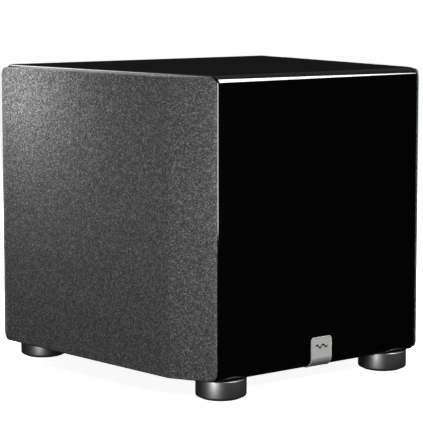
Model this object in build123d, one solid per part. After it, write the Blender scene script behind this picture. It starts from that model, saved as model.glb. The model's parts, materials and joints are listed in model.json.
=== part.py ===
from build123d import *
import math
import os

# A powered subwoofer with two opposed side-firing drivers. Millimetres, +Z up, front towards -Y.
# The origin is on the floor, in the middle of the object's box.

# ---------- driving dimensions ----------
# cabinet
cab_height = 360.0
cab_depth = 392.0
front_width = 312.0
flare_deg = 8.0  # each side wall opens towards the rear by this angle
wall = 18.0
round_r = 12.0  # long edges of the lacquered wrap
edge_r = 3.0  # edges of the wrap beside the grilles
brace_t = 15.0
brace_web = 45.0  # what is left of the brace round its window
brace_corner = 20.0
brace_back = 12.0  # it stops this far short of the drivers' rear edge
pad_t = 22.0  # wadding
pad_edge = 6.0
pad_gap = 3.0  # wadding to the brace

# feet
foot_height = 24.0
foot_r = 30.7
foot_wall = 5.0  # of the cup that holds the rubber pad
foot_edge = 0.8
pad_proud = 2.0
pad_seat = 3.0  # how deep the pad sits in the foot
bolt_r = 4.0
bolt_head_r = 7.2
bolt_head_h = 4.5
insert_r = 5.6
insert_flange_r = 11.2
insert_flange_t = 1.6
flange_gap = 2.5  # the insert's flange to the walls beside it
insert_short = 4.0  # the insert stops this far above the bottom panel's face

# badge
badge_w = 32.0
badge_h = 37.0
badge_t = 1.2
badge_corner = 4.0
badge_under = 6.0  # how far it runs under the cabinet past the round edge

# driver: heights are along its axis, from the outer face of the baffle
rim_r = 131.0
rim_t = 6.0
rim_land = 16.5  # width of the flange that lies on the baffle
bowl_t = 3.5
bowl_straight = 4.0  # the bowl runs straight this far past the baffle
bowl_taper = 30.5  # from there it narrows to the spider's shelf
shelf_depth = 58.0
shelf_ring = 12.0
motor_step = 18.0  # from the shelf in to the motor
motor_depth = 78.0
floor_hole = 0.312  # hole in its floor, as a share of the way from the gap to the top plate's edge
arm_count = 6
arm_gap = 48.0  # width of the windows between the arms
vent_gap = 32.0
plate_step = 8.0  # the top plate is this much smaller than the magnet
top_plate_t = 8.0
magnet_t = 26.0
magnet_bore = 34.0
yoke_t = 8.0
yoke_step = 6.0  # the yoke is this much smaller than the magnet
pole_r = 24.8
vent_r = 8.0
former_r = 26.2
former_t = 0.6
winding_t = 1.2
gap_clear = 0.8  # coil to each side of the magnetic gap
cone_depth = 44.0
cone_t = 1.6
cone_lip = 4.0  # flat rim of the cone
cone_neck = 6.0  # length glued to the former
cap_r = 44.0
cap_rise = 13.0
sheet_t = 1.4  # surround
roll_r = 7.5
roll_over = 2.5  # how far the roll stands over the basket's flange
roll_land = 4.0  # flat rim of the surround
lip_over = 3.0  # how far the surround covers the cone
spider_t = 0.9
spider_land = 3.0  # flat rims of the spider
spider_wave = 1.8
spider_waves = 4
excursion = 8.0  # of the voice coil, each way
screw_count = 8
screw_in = 7.5  # screw circle from the rim's edge
screw_r = 2.5
screw_len = 14.0
head_r = 4.6
head_h = 3.2
socket_deep = 2.0
tag_w = 24.0  # strip that carries the two terminals
tag_out = 18.0
tag_t = 2.0
blade_pitch = 12.0
blade_w = 0.8
blade_l = 5.0
blade_h = 7.0

# grille
grille_gap = 1.4  # front end of the grille to the cabinet's front
grille_rear = 25.6  # rear end of the grille to the cabinet's rear
grille_drop = 2.0  # below the cabinet's top and above its bottom
grille_stand = 0.8  # back of the grille to the wall
grille_edge = 3.5  # how far its front end stands off the wall
grille_bulge = 26.5
front_facet = 54.0
rear_facet = 10.0
rear_drop = 2.5  # fall of the rear facet
grille_corner = 11.0
frame_t = 3.5
cloth_t = 1.0
window_clear = 6.0  # window in the frame, outside the driver's rim
pin_x = 128.0  # grille pins from the driver's axis, along the wall
pin_z = 135.0  # and up or down
pin_r = 3.5
pin_deep = 11.0
pin_seat = 6.0  # roof over the pin in its boss
boss_r = 8.0
cup_r = 6.5
cup_floor = 2.0
cup_flange_r = 9.0
cup_flange_t = 1.5
cup_deep = 15.0

# amplifier, on the rear panel: across is X, up is Z from the panel's middle
plate_w = 230.0
plate_h = 270.0
plate_t = 3.0
plate_lip = 20.0
plate_corner = 6.0
plate_screw_r = 2.0
plate_screw_len = 14.0
plate_head_r = 3.8
plate_head_h = 2.4
cross_w = 4.6
cross_t = 0.9
cross_deep = 1.0
sink_w = 190.0
sink_h = 90.0
sink_up = 72.0
sink_base = 3.0
fin_h = 11.0
fin_t = 1.8
fin_count = 16
control_up = 8.0
volume_x = 72.0
crossover_x = 30.0
phase_x = -12.0
auto_x = -44.0
light_x = -74.0
knob_r = 9.5
knob_h = 12.0
knob_off = 1.0  # knob to plate
knob_edge = 1.2
flute_count = 24
flute_r = 0.9
flute_bite = 0.55
pointer_w = 1.2
spindle_r = 3.0
bush_t = 1.0
pot_size = 16.0
pot_deep = 9.0
control_below = 17.0  # the control board, from the controls' middle line
control_above = 15.0
control_past = 12.0  # and past the last knob
slot_w = 9.0
slot_h = 4.6
slider_w = 4.0
slider_h = 4.0
slider_proud = 2.4
groove_deep = 0.5  # of the grip on its tip
slide_travel = 4.0
slider_in = 4.5
switch_wall = 3.0
light_r = 1.5
light_proud = 0.9
jack_x = 78.0
jack_pitch = 22.0
jack_up = -30.0
jack_r = 4.15
jack_len = 9.0
jack_wall = 0.7
barrel_t = 1.2
barrel_deep = 12.0
jack_flange = 2.2
jack_flange_t = 1.6
jack_hole_r = 1.7
inlet_x = -40.0
inlet_up = -86.0
inlet_w = 62.0
inlet_h = 36.0
inlet_lip = 2.5
inlet_rim = 3.0  # the flange stands this far past the body
inlet_deep = 27.0
socket_x = -25.5
socket_w = 24.4
socket_h = 17.0
mouth_deep = 18.0  # of the mains socket
mouth_corner = 5.0
contact_w = 2.0  # the three flat pins in the mouth
contact_h = 4.0
contact_x = 7.0
contact_low = -2.0
contact_high = 2.5
drawer_x = -43.5
drawer_w = 7.0
drawer_h = 22.0
drawer_deep = 20.0
drawer_proud = 0.6
drawer_wall = 1.0
drawer_floor = 3.0
fuse_l = 15.4
notch_h = 3.0  # where a blade lifts it out
notch_t = 0.8
rocker_x = -58.5
rocker_w = 14.0
rocker_h = 22.0
rocker_deep = 12.0
rocker_tip = 9.0  # degrees each side of level
rocker_sunk = 5.0  # its pivot, behind the inlet's face
rocker_low = 4.5  # its foot and its two ends, from the pivot
rocker_high = 5.6
rocker_dip = 2.0  # of the V
rocker_swing = 1.0  # room past each end
rocker_taper = 0.6
rocker_clear = 0.2
spindle_clear = 1.5  # spindle's end to the board behind it
board_t = 1.6
amp_board_w = 166.0
amp_board_h = 90.0
amp_board_off = 24.0
amp_board_up = 66.0
post_in = 6.0
post_r = 3.0
chip_w = 16.0
chip_h = 20.0
chip_t = 4.5
chip_pitch = 24.0
chip_count = 4
chip_x = -18.0  # middle of the row
chip_up = 26.0
coil_r = 36.0  # toroidal transformer
coil_hole_r = 11.5
coil_round = 7.2
coil_h = 34.0
coil_x = 48.0
coil_up = -72.0
washer_t = 1.2
can_r = 12.5
can_h = 35.0
can_xs = (-22.0, 12.0)
can_down = 14.0  # from the board's middle

# clearances
glue_gap = 0.4  # between a moving piece and the soft ring glued to it
run_gap = 0.06  # a spindle in its bush
slip_gap = 0.3  # a piece that slides out, round its neighbour
drill_gap = 0.1  # a screw, pin or insert in its hole
rim_fit = 0.8  # the basket in the baffle

# ---------- places ----------
tilt = math.radians(flare_deg)
bowl_r = rim_r - rim_land
shelf_r = bowl_r - bowl_taper
motor_r = shelf_r - motor_step
top_plate_r = motor_r - plate_step
gap_r = former_r + winding_t + gap_clear
floor_r = gap_r + (top_plate_r - gap_r) * floor_hole
screw_circle = rim_r - screw_in
foot_inset = wall + insert_flange_r + flange_gap  # foot centre from the nearest two faces
cone_r = bowl_r - bowl_t + roll_over - 2 * roll_r - glue_gap
window_r = rim_r + window_clear
rear_proud = plate_t + sink_base + fin_h
y_front = (badge_t - cab_depth - rear_proud) / 2
y_rear = y_front + cab_depth
y_mid = (y_front + y_rear) / 2
z_low = foot_height
z_top = z_low + cab_height
z_mid = (z_low + z_top) / 2
wide = cab_depth + front_width  # longer than any cut needs

MIN = (Align.CENTER, Align.CENTER, Align.MIN)
LEFT, RIGHT = -1, 1
SIDES = {"left": LEFT, "right": RIGHT}


def half_width(y):
    """Half the cabinet's width at a depth."""
    return front_width / 2 + (y - y_front) * math.tan(tilt)


def wall_point(side, y, out):
    """The point at this depth that stands this far off the side wall."""
    return side * (half_width(y) + out / math.cos(tilt)), y


def wall_plane(side):
    """The driver's plane: on the baffle's outer face, Z along the driver's axis, outwards."""
    x_dir = (side * math.sin(tilt), math.cos(tilt), 0)
    z_dir = (side * math.cos(tilt), -math.sin(tilt), 0)
    return Plane((side * half_width(y_mid), y_mid, z_mid), x_dir=x_dir, z_dir=z_dir)


def prism(points, z0, z1):
    """A plan outline raised from one height to another."""
    face = make_face(Polyline(*points, close=True))
    return extrude(Pos(0, 0, z0) * face, amount=z1 - z0, dir=(0, 0, 1))


def bar(y0, y1, z0, z1, corner):
    """A bar along X with a rounded section, wider than the cabinet."""
    sketch = Plane.YZ * Pos((y0 + y1) / 2, (z0 + z1) / 2) * RectangleRounded(y1 - y0, z1 - z0, corner)
    return extrude(sketch, amount=wide / 2, both=True)


def turned(points):
    """A solid turned about Z from its half section."""
    return revolve(Plane.XZ * make_face(Polyline(*points, close=True)), axis=Axis.Z)


def rod(radius, z0, z1):
    return Pos(0, 0, z0) * Cylinder(radius, z1 - z0, align=MIN)


def tube(outer, inner, z0, z1):
    return rod(outer, z0, z1) - rod(inner, z0 - 1, z1 + 1)


def block(x0, x1, y0, y1, z0, z1):
    return Pos((x0 + x1) / 2, (y0 + y1) / 2, (z0 + z1) / 2) * Box(x1 - x0, y1 - y0, z1 - z0)


os.makedirs("parts", exist_ok=True)


def write(name, *solids):
    """One STEP file for a piece, or for a group of like pieces."""
    shape = solids[0] if len(solids) == 1 else Compound(children=[s for p in solids for s in p.solids()])
    export_step(shape, f"parts/{name}.step")


# ---------- cabinet wrap ----------
def side_cut(y0, y1, out0, out1, side):
    """Plan outline of a slab along one side wall, between two distances off it."""
    return [
        wall_point(side, y0, out0),
        wall_point(side, y0, out1),
        wall_point(side, y1, out1),
        wall_point(side, y1, out0),
    ]


plan = [
    (-half_width(y_front), y_front),
    (half_width(y_front), y_front),
    (half_width(y_rear), y_rear),
    (-half_width(y_rear), y_rear),
]
solid_cab = bar(y_front, y_rear, z_low, z_top, round_r) & prism(plan, z_low, z_top)
side_faces = [f for f in solid_cab.faces() if abs(f.normal_at().X) > math.cos(tilt) - 0.01]
side_edges = [e for f in side_faces for e in f.edges()]
solid_cab = fillet(side_edges, edge_r)
wrap = solid_cab - block(-wide, wide, y_front + wall, y_rear - wall, z_low + wall, z_top - wall)


def mitre(corners):
    """A panel of the wrap, cut at 45 degrees along its long edges."""
    face = make_face(Polyline(*[(0, y, z) for y, z in corners], close=True))
    cut = extrude(face, amount=wide / 2, both=True)
    return wrap & cut


outer = [(y_front, z_low), (y_front, z_top), (y_rear, z_top), (y_rear, z_low)]
inner = [
    (y_front + wall, z_low + wall),
    (y_front + wall, z_top - wall),
    (y_rear - wall, z_top - wall),
    (y_rear - wall, z_low + wall),
]
front_panel, top_panel, rear_panel, bottom_panel = [
    mitre([outer[i], outer[(i + 1) % 4], inner[(i + 1) % 4], inner[i]]) for i in range(4)
]

# ---------- feet ----------
foot_y = {"front": y_front + foot_inset, "rear": y_rear - foot_inset}
foot_spots = {
    f"foot_{end}_{name}": (side * (half_width(y) - foot_inset), y)
    for end, y in foot_y.items()
    for name, side in SIDES.items()
}
foot_floor = pad_proud + pad_seat  # top of the rubber pad
recess_r = foot_r - foot_wall
head_hole_r = bolt_head_r + 1.3
head_hole_top = foot_floor + bolt_head_h + 0.5
shell = turned(
    [
        (bolt_r + drill_gap, foot_height),
        (foot_r - foot_edge, foot_height),
        (foot_r, foot_height - foot_edge),
        (foot_r, pad_proud + 3 * foot_edge),
        (foot_r - foot_edge, pad_proud + foot_edge),
        (foot_r - 3 * foot_edge, pad_proud),
        (recess_r, pad_proud),
        (recess_r, foot_floor),
        (head_hole_r, foot_floor),
        (head_hole_r, head_hole_top),
        (bolt_r + drill_gap, head_hole_top),
    ]
)
rubber = rod(recess_r - drill_gap, 0, foot_floor)
rubber = chamfer(rubber.edges().group_by(Axis.Z)[0], foot_edge)
bolt = rod(bolt_head_r, foot_floor, foot_floor + bolt_head_h) + rod(bolt_r, foot_floor, z_low + wall - 1)
bolt -= extrude(Pos(0, 0, foot_floor) * RegularPolygon(bolt_r * 0.8, 6), amount=bolt_head_h / 2)
insert_low = z_low + insert_short
insert_top = z_low + wall
insert = tube(insert_r, bolt_r + drill_gap, insert_low, insert_top)
insert += tube(insert_flange_r, bolt_r + drill_gap, insert_top, insert_top + insert_flange_t)
insert_hole = rod(insert_r + drill_gap, insert_low, insert_top + 1)
insert_hole += rod(bolt_r + drill_gap, z_low - 1, insert_low + 1)
for x, y in foot_spots.values():
    bottom_panel -= Pos(x, y, 0) * insert_hole
for name, (x, y) in foot_spots.items():
    write(name, Pos(x, y, 0) * shell)
write("foot_pads", *[Pos(x, y, 0) * rubber for x, y in foot_spots.values()])
write("foot_bolts", *[Pos(x, y, 0) * bolt for x, y in foot_spots.values()])
write("foot_inserts", *[Pos(x, y, 0) * insert for x, y in foot_spots.values()])

# ---------- badge, folded round the bottom edge of the front ----------
badge = bar(y_front - badge_t, y_rear, z_low - badge_t, z_top, round_r + badge_t)
badge -= bar(y_front, y_rear + 1, z_low, z_top + 1, round_r)
reach = y_front + round_r + badge_under
badge &= block(-badge_w / 2, badge_w / 2, y_front - badge_t - 1, reach, z_low - badge_t - 1, z_low + badge_h)
corners = badge.edges().filter_by(Axis.Y).group_by(Axis.Z)[-1]
badge = fillet(corners, badge_corner)
write("badge", badge)

# ---------- drivers ----------
screw_spots = PolarLocations(screw_circle, screw_count, start_angle=180 / screw_count)
shelf_top = -shelf_depth + bowl_t / 2
bowl_low = -wall - bowl_straight
web_in = shelf_r - shelf_ring
basket = turned(
    [
        (rim_r, 0),
        (rim_r, -rim_t),
        (bowl_r, -rim_t),
        (bowl_r, bowl_low),
        (shelf_r, -shelf_depth),
        (shelf_r, -shelf_depth - bowl_t),
        (motor_r, -motor_depth),
        (floor_r, -motor_depth),
        (floor_r, -motor_depth + bowl_t),
        (motor_r - bowl_t, -motor_depth + bowl_t),
        (web_in, -shelf_depth - bowl_t / 2),
        (web_in, shelf_top),
        (shelf_r - bowl_t, shelf_top),
        (bowl_r - bowl_t, bowl_low + bowl_t / 2),
        (bowl_r - bowl_t, 0),
    ]
)
window_low = -shelf_depth + 1.7 * bowl_t
window_high = bowl_low - bowl_t
vent_low = -motor_depth + 1.4 * bowl_t
vent_high = -shelf_depth - 1.7 * bowl_t
for i in range(arm_count):
    gap = block(web_in, bowl_r + 1, -arm_gap / 2, arm_gap / 2, window_low, window_high)
    vent = block(motor_r + 2, shelf_r + 1, -vent_gap / 2, vent_gap / 2, vent_low, vent_high)
    basket -= Rot(0, 0, 360 / arm_count * (i + 0.5)) * (gap + vent)
for spot in screw_spots:
    basket -= spot * rod(screw_r + drill_gap, -rim_t - 1, 1)

motor_low = motor_depth + top_plate_t
yoke_top = motor_low + magnet_t
top_plate = tube(top_plate_r, gap_r, -motor_low, -motor_depth)
magnet = tube(motor_r, magnet_bore, -yoke_top, -motor_low)
magnet = chamfer(magnet.edges().filter_by(GeomType.CIRCLE).group_by(SortBy.RADIUS)[-1], 1.0)
yoke = rod(motor_r - yoke_step, -yoke_top - yoke_t, -yoke_top) + rod(pole_r, -yoke_top - 1, -motor_depth)
yoke -= rod(vent_r, -yoke_top - yoke_t - 1, -motor_depth + 1)

coil_mid = -motor_depth - top_plate_t / 2
winding_h = top_plate_t + 2 * excursion  # the gap stays full of turns over the whole stroke
coil_low = coil_mid - winding_h / 2
coil_top = coil_mid + winding_h / 2
coil = tube(former_r, former_r - former_t, coil_low, -cone_depth - 1) + tube(
    former_r + winding_t, former_r - former_t / 2, coil_low, coil_top
)

throat_r = former_r + cone_t
lip_in = cone_r - cone_lip
lip_top = -glue_gap
lip_fall = glue_gap * 1.5  # from the lip down to the slope
cone_slope = (cone_depth + lip_top - lip_fall) / (lip_in - throat_r)


def cone_height(r):
    """Height of the cone's front face at a radius."""
    return -cone_depth + (r - throat_r) * cone_slope


cone = turned(
    [
        (former_r, -cone_depth - cone_neck),
        (throat_r, -cone_depth - cone_neck),
        (throat_r, -cone_depth - cone_t * 1.4),
        (lip_in, lip_top - lip_fall - cone_t),
        (cone_r, lip_top - cone_t),
        (cone_r, lip_top),
        (lip_in, lip_top - lip_fall),
        (throat_r, -cone_depth),
        (former_r, -cone_depth),
    ]
)
cap_base = cone_height(cap_r) + drill_gap
cap_ball = (cap_r**2 + cap_rise**2) / (2 * cap_rise)
cap_centre = Pos(0, 0, cap_base + cap_rise - cap_ball)
dust_cap = cap_centre * (Sphere(cap_ball) - Sphere(cap_ball - cone_t))
dust_cap &= rod(cap_r + 1, cap_base, cap_base + cap_rise + 1)

roll_mid = cone_r + glue_gap + roll_r
roll_out = roll_r + sheet_t / 2
roll_in = roll_r - sheet_t / 2
reach_out = math.sqrt(roll_out**2 - sheet_t**2)
land_in = cone_r - lip_over
land_out = roll_mid + roll_r + roll_land
surround_section = make_face(
    Line((land_in, 0), (roll_mid - roll_in, 0))
    + ThreePointArc((roll_mid - roll_in, 0), (roll_mid, roll_in), (roll_mid + roll_in, 0))
    + Polyline(
        (roll_mid + roll_in, 0),
        (land_out, 0),
        (land_out, sheet_t),
        (roll_mid + reach_out, sheet_t),
    )
    + ThreePointArc((roll_mid + reach_out, sheet_t), (roll_mid, roll_out), (roll_mid - reach_out, sheet_t))
    + Polyline((roll_mid - reach_out, sheet_t), (land_in, sheet_t), (land_in, 0))
)
surround = revolve(Plane.XZ * surround_section, axis=Axis.Z)

spider_in = former_r + glue_gap
wave_in = spider_in + spider_land
wave_out = web_in - 1
spider_seat = shelf_top
wave_steps = spider_waves * 4


def wave_point(i, lift):
    r = wave_in + (wave_out - wave_in) * i / wave_steps
    return r, spider_seat + spider_wave * math.sin(math.pi * i / 2) + lift


lower = [wave_point(i, 0) for i in range(wave_steps + 1)]
upper = [wave_point(i, spider_t) for i in range(wave_steps, -1, -1)]
spider_out = shelf_r - bowl_t - drill_gap
spider_section = make_face(
    Line((spider_in, spider_seat), lower[0])
    + Spline(*lower)
    + Polyline(lower[-1], (spider_out, spider_seat), (spider_out, spider_seat + spider_t), upper[0])
    + Spline(*upper)
    + Polyline(upper[-1], (spider_in, spider_seat + spider_t), (spider_in, spider_seat))
)
spider = revolve(Plane.XZ * spider_section, axis=Axis.Z)

screw = rod(head_r, 0, head_h) + rod(screw_r, -screw_len, 0.5)
screw = fillet(screw.edges().group_by(Axis.Z)[-1], head_h * 0.4)
screw -= extrude(Pos(0, 0, head_h - socket_deep) * RegularPolygon(screw_r * 0.8, 6), amount=head_h)
screws = [spot * screw for spot in screw_spots]

tag_low = -motor_depth
terminal = block(motor_r - tag_t, motor_r + tag_out, -tag_w / 2, tag_w / 2, tag_low, tag_low + tag_t)
cage = [(0, tag_low), (motor_r, tag_low), (shelf_r, -shelf_depth - bowl_t), (0, -shelf_depth - bowl_t)]
terminal -= turned(cage)
blade_x = motor_r + tag_out / 2
blade_top = tag_low + tag_t / 2
for across in (-blade_pitch / 2, blade_pitch / 2):
    y0 = across - blade_w / 2
    terminal += block(blade_x, blade_x + blade_l, y0, y0 + blade_w, blade_top - blade_h, blade_top)

driver_pieces = {
    "basket": basket,
    "top_plate": top_plate,
    "magnet": magnet,
    "pole_yoke": yoke,
    "voice_coil": coil,
    "cone": cone,
    "dust_cap": dust_cap,
    "surround": surround,
    "spider": spider,
}
for name, side in SIDES.items():
    for piece, solid in driver_pieces.items():
        write(f"{name}_{piece}", wall_plane(side).location * solid)
write("woofer_screws", *[wall_plane(s).location * one for s in SIDES.values() for one in screws])
write("woofer_terminals", *[wall_plane(s).location * terminal for s in SIDES.values()])

# ---------- grilles ----------
pin_spots = [Pos(x, z, 0) for x in (-pin_x, pin_x) for z in (-pin_z, pin_z)]


def grille_block(side, inset, back):
    """The grille's outline, with its facets, shrunk by an inset and open to a distance off the wall."""
    y0 = y_front + grille_gap + inset
    y1 = y_rear - grille_rear - inset
    edge = max(grille_edge - inset, back + slip_gap)
    points = [
        wall_point(side, y0, back),
        wall_point(side, y0, edge),
        wall_point(side, y_front + front_facet, grille_bulge - inset),
        wall_point(side, y_rear - grille_rear - rear_facet, grille_bulge - inset),
        wall_point(side, y1, grille_bulge - rear_drop - inset),
        wall_point(side, y1, back),
    ]
    solid = prism(points, z_low, z_top)
    z0 = z_low + grille_drop + inset
    z1 = z_top - grille_drop - inset
    return solid & bar(y0, y1, z0, z1, grille_corner - inset)


boss_top = grille_bulge - cloth_t - frame_t
boss = rod(boss_r, grille_stand, boss_top + 1) - rod(pin_r + drill_gap, -1, boss_top - pin_seat)
pin = rod(pin_r, -pin_deep, boss_top - pin_seat - drill_gap)
pin = chamfer(pin.edges().group_by(Axis.Z)[0], pin_r / 3)
for name, side in SIDES.items():
    place = wall_plane(side).location
    cloth = grille_block(side, 0, grille_stand) - grille_block(side, cloth_t, -5)
    frame = grille_block(side, cloth_t, grille_stand) - grille_block(side, cloth_t + frame_t, -5)
    frame -= place * rod(window_r, -1, grille_bulge + 5)
    for spot in pin_spots:
        frame += place * spot * boss
    write(f"{name}_grille_frame", frame)
    write(f"{name}_grille_cloth", cloth)
    write(f"{name}_grille_pins", *[place * spot * pin for spot in pin_spots])

cup = rod(cup_flange_r, -cup_flange_t, 0) + rod(cup_r, -cup_deep, 0)
cup -= rod(pin_r + slip_gap, -cup_deep + cup_floor, 1)
write("grille_cups", *[wall_plane(s).location * spot * cup for s in SIDES.values() for spot in pin_spots])

# ---------- baffles and brace ----------
cuts = rod(bowl_r + rim_fit, -wall - 1, 1) + rod(rim_r + rim_fit, -rim_t, 1)
for spot in pin_spots:
    cuts += spot * rod(cup_r + drill_gap, -cup_deep - drill_gap, 1)
    cuts += spot * rod(cup_flange_r + drill_gap, -cup_flange_t, 1)
for spot in screw_spots:
    cuts += spot * rod(screw_r + drill_gap, -screw_len - 1, 1)
for name, side in SIDES.items():
    slab = prism(side_cut(y_front + wall, y_rear - wall, -wall, 0, side), z_low + wall, z_top - wall)
    write(f"{name}_baffle", slab - wall_plane(side).location * cuts)

brace_y1 = y_mid + bowl_r - brace_back
brace = block(-brace_t / 2, brace_t / 2, y_front + wall, brace_y1, z_low + wall, z_top - wall)
brace_w = brace_y1 - y_front - wall - 2 * brace_web
window = Plane.YZ * Pos((y_front + wall + brace_y1) / 2, z_mid) * RectangleRounded(
    brace_w, cab_height - 2 * wall - 2 * brace_web, brace_corner
)
write("window_brace", brace - extrude(window, amount=brace_t, both=True))

# ---------- wadding: two pads under the top, two on the bottom ----------
pad_x0 = brace_t / 2 + pad_gap
pad_x1 = half_width(y_front) - foot_inset - wall - 2 * pad_gap
pad_y0 = y_front + wall + pad_gap
pads = []
for side in (LEFT, RIGHT):
    for z0 in (z_low + wall + 1, z_top - wall - 1 - pad_t):
        pad = block(pad_x0, pad_x1, pad_y0, brace_y1 - pad_gap, z0, z0 + pad_t)
        pad = fillet(pad.edges(), pad_edge)
        pads.append(pad if side == RIGHT else mirror(pad, about=Plane.YZ))
write("wadding", *pads)


# ---------- amplifier ----------
def rear_block(x, up, w, h, deep, proud, corner=0.0):
    """A block through the amplifier plate: deep is inwards from the panel's face, proud is outwards."""
    outline = RectangleRounded(w, h, corner) if corner else Rectangle(w, h)
    face = Plane((x, y_rear - deep, z_mid + up), x_dir=(1, 0, 0), z_dir=(0, 1, 0)) * outline
    return extrude(face, amount=deep + proud)


def rear_rod(x, up, radius, deep, proud):
    face = Plane((x, y_rear - deep, z_mid + up), x_dir=(1, 0, 0), z_dir=(0, 1, 0)) * Circle(radius)
    return extrude(face, amount=deep + proud)


cut_w = plate_w - 2 * plate_lip
cut_h = plate_h - 2 * plate_lip
rear_panel -= rear_block(0, 0, cut_w, cut_h, wall + 1, 1, plate_corner)
amp_plate = rear_block(0, 0, plate_w, plate_h, 0, plate_t, plate_corner)
screw_x = plate_w / 2 - plate_lip / 2
screw_up = plate_h / 2 - plate_lip / 2
plate_screws = [(x, up) for x in (-screw_x, 0, screw_x) for up in (-screw_up, 0, screw_up) if x or up]
fasteners = []
for x, up in plate_screws:
    hole = rear_rod(x, up, plate_screw_r + drill_gap, plate_screw_len + 1, plate_t)
    amp_plate -= hole
    rear_panel -= hole
    head_top = plate_t + plate_head_h
    head = rear_rod(x, up, plate_head_r, -plate_t, head_top)
    head = fillet(head.edges().group_by(Axis.Y)[-1], plate_head_h * 0.4)
    shank = rear_rod(x, up, plate_screw_r, plate_screw_len, plate_t)
    level = rear_block(x, up, cross_w, cross_t, cross_deep - head_top, head_top)
    upright = rear_block(x, up, cross_t, cross_w, cross_deep - head_top, head_top)
    fasteners.append(shank + head - level - upright)

# openings in the plate
knob_xs = {"volume_knob": volume_x, "crossover_knob": crossover_x}
slider_xs = {"phase_slider": phase_x, "auto_slider": auto_x}
bush_r = spindle_r + run_gap + bush_t
for x in knob_xs.values():
    amp_plate -= rear_rod(x, control_up, bush_r + drill_gap, 1, plate_t + 1)
for x in slider_xs.values():
    amp_plate -= rear_block(x, control_up, slot_w, slot_h, 1, plate_t + 1)
amp_plate -= rear_rod(light_x, control_up, light_r + drill_gap, 1, plate_t + 1)
jack_xs = [jack_x, jack_x - jack_pitch]
barrel_r = jack_r + barrel_t
for x in jack_xs:
    amp_plate -= rear_rod(x, jack_up, barrel_r + drill_gap, 1, plate_t + 1)
body_w = inlet_w - 2 * inlet_rim
body_h = inlet_h - 2 * inlet_rim
cut_round = inlet_rim * 0.7
hatch_w = body_w + 2 * drill_gap
hatch_h = body_h + 2 * drill_gap
amp_plate -= rear_block(inlet_x, inlet_up, hatch_w, hatch_h, 1, plate_t + 1, cut_round)
write("front_panel", front_panel)
write("top_panel", top_panel)
write("bottom_panel", bottom_panel)
write("rear_panel", rear_panel)
write("amp_plate", amp_plate)
write("amp_screws", *fasteners)

# heatsink: upright fins bonded to a base
sink = [rear_block(0, sink_up, sink_w, sink_h, -plate_t, plate_t + sink_base)]
fin_pitch = (sink_w - fin_t) / (fin_count - 1)
for i in range(fin_count):
    x = (fin_t - sink_w) / 2 + i * fin_pitch
    sink.append(rear_block(x, sink_up, fin_t, sink_h, -plate_t - sink_base, rear_proud))
write("heatsink", *sink)

# knobs with their spindles; the turned solid stands on the plate's face
spindle_low = spindle_clear - plate_t - pot_deep
knob_top = knob_off + knob_h
knob = rod(knob_r, knob_off, knob_top)
knob = fillet(knob.edges().group_by(Axis.Z)[-1], knob_edge)
flute = rod(flute_r, 2 * knob_off, knob_top + 1)
for i in range(flute_count):
    knob -= Rot(0, 0, 360 / flute_count * i) * Pos(knob_r + flute_r - flute_bite, 0, 0) * flute
knob -= block(-pointer_w / 2, pointer_w / 2, knob_r / 3, knob_r - 1.5, knob_top - 0.8, knob_top + 1)
knob += rod(spindle_r, spindle_low, knob_off + 1)
for name, x in knob_xs.items():
    face = Plane((x, y_rear + plate_t, z_mid + control_up), x_dir=(1, 0, 0), z_dir=(0, 1, 0))
    write(name, face.location * Rot(0, 0, 180) * knob)

# control board with its pots and slide switches
control_y = y_rear - pot_deep
control_low = z_mid + control_up - control_below
control_high = z_mid + control_up + control_above
control_left = light_x - control_past
control_right = volume_x + control_past
control = block(control_left, control_right, control_y - board_t, control_y, control_low, control_high)
for x in knob_xs.values():
    pot = rear_block(x, control_up, pot_size, pot_size, pot_deep, 0)
    pot += rear_rod(x, control_up, bush_r, 1, plate_t)
    control += pot - rear_rod(x, control_up, spindle_r + run_gap, pot_deep - spindle_clear / 2, plate_t + 1)
track_w = slider_w + slide_travel + 2 * slip_gap
track_h = slider_h + 2 * slip_gap
for x in slider_xs.values():
    case = rear_block(x, control_up, slot_w + 2 * switch_wall, slot_h + 2 * switch_wall, pot_deep, -slip_gap)
    control += case - rear_block(x, control_up, track_w, track_h, slider_in + slip_gap, 1)
write("control_board", control)
slider_top = plate_t + slider_proud
for name, x in slider_xs.items():
    start = x - slide_travel / 2
    tip = rear_block(start, control_up, slider_w, slider_h, slider_in, slider_top)
    for groove in (-slider_w * 0.3, 0, slider_w * 0.3):
        x = start + groove
        tip -= rear_block(x, control_up, slider_w / 8, slider_h + 1, groove_deep - slider_top, slider_top + 1)
    write(name, tip)
light = rear_rod(light_x, control_up, light_r, pot_deep, plate_t + light_proud)
light = fillet(light.edges().group_by(Axis.Y)[-1], light_r / 2)
write("status_light", light)

# line jacks: a metal sleeve round an insulator, twice
jack_top = plate_t + jack_len
jack_floor = barrel_deep * 2 / 3
jacks = []
for x in jack_xs:
    sleeve = rear_rod(x, jack_up, jack_r, 1, jack_top) + rear_rod(x, jack_up, barrel_r, barrel_deep, plate_t)
    sleeve += rear_rod(x, jack_up, barrel_r + jack_flange, -plate_t, plate_t + jack_flange_t)
    sleeve -= rear_rod(x, jack_up, jack_r - jack_wall, jack_floor, jack_top + 1)
    insulator = rear_rod(x, jack_up, jack_r - jack_wall - drill_gap, jack_floor, jack_top - 2 * jack_wall)
    jacks.append(sleeve)
    jacks.append(insulator - rear_rod(x, jack_up, jack_hole_r, jack_floor - 2, jack_top))
write("line_jacks", *jacks)

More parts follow.
